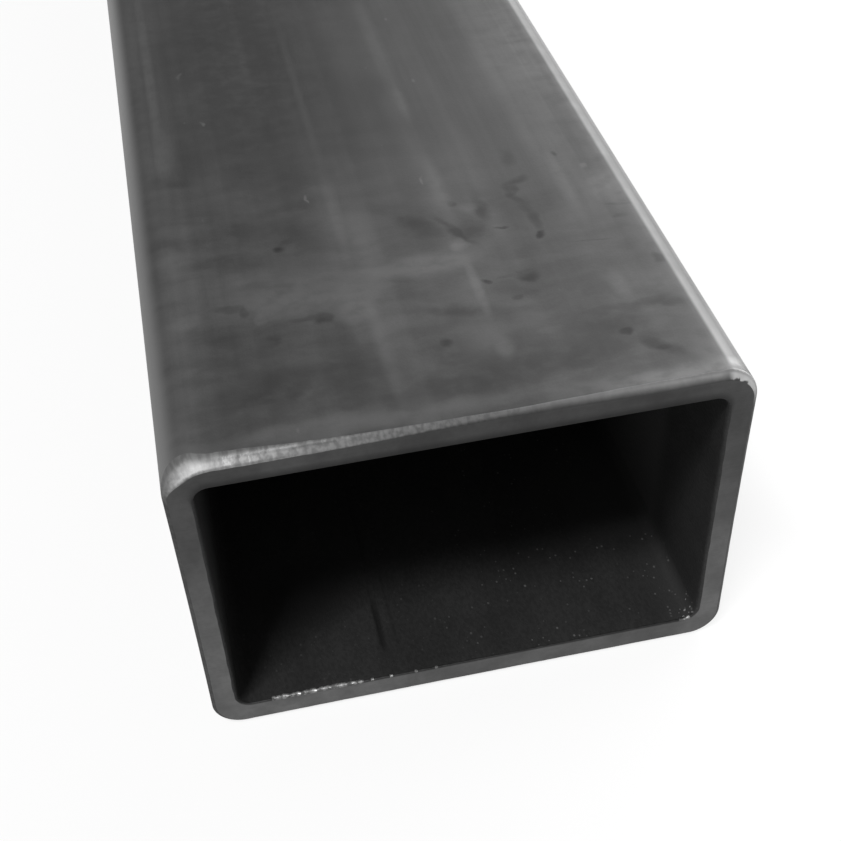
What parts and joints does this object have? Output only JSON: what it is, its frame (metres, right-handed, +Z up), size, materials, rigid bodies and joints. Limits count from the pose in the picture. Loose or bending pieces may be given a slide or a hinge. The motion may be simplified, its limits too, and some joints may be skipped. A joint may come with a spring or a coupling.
{
  "type": "rectangular steel tube",
  "caption": "Length of rectangular steel hollow section with rounded long corners, dark mill-scale faces and sawn, lightly bevelled open ends.",
  "frame": {"origin": "middle of the underside, on the floor that the tube lies on", "axes": "+Y along the tube, away from the end that the picture shows; +X across the wide face; +Z up"},
  "size_m": [0.06, 1, 0.04],
  "materials": {
    "mill_scale_steel": "dark grey mill scale with a satin sheen, smudged and streaked along the length; sawn ends and rubbed edges are lighter bare steel"
  },
  "bodies": {
    "root": {"tube": "mill_scale_steel"}
  },
  "joints": []
}
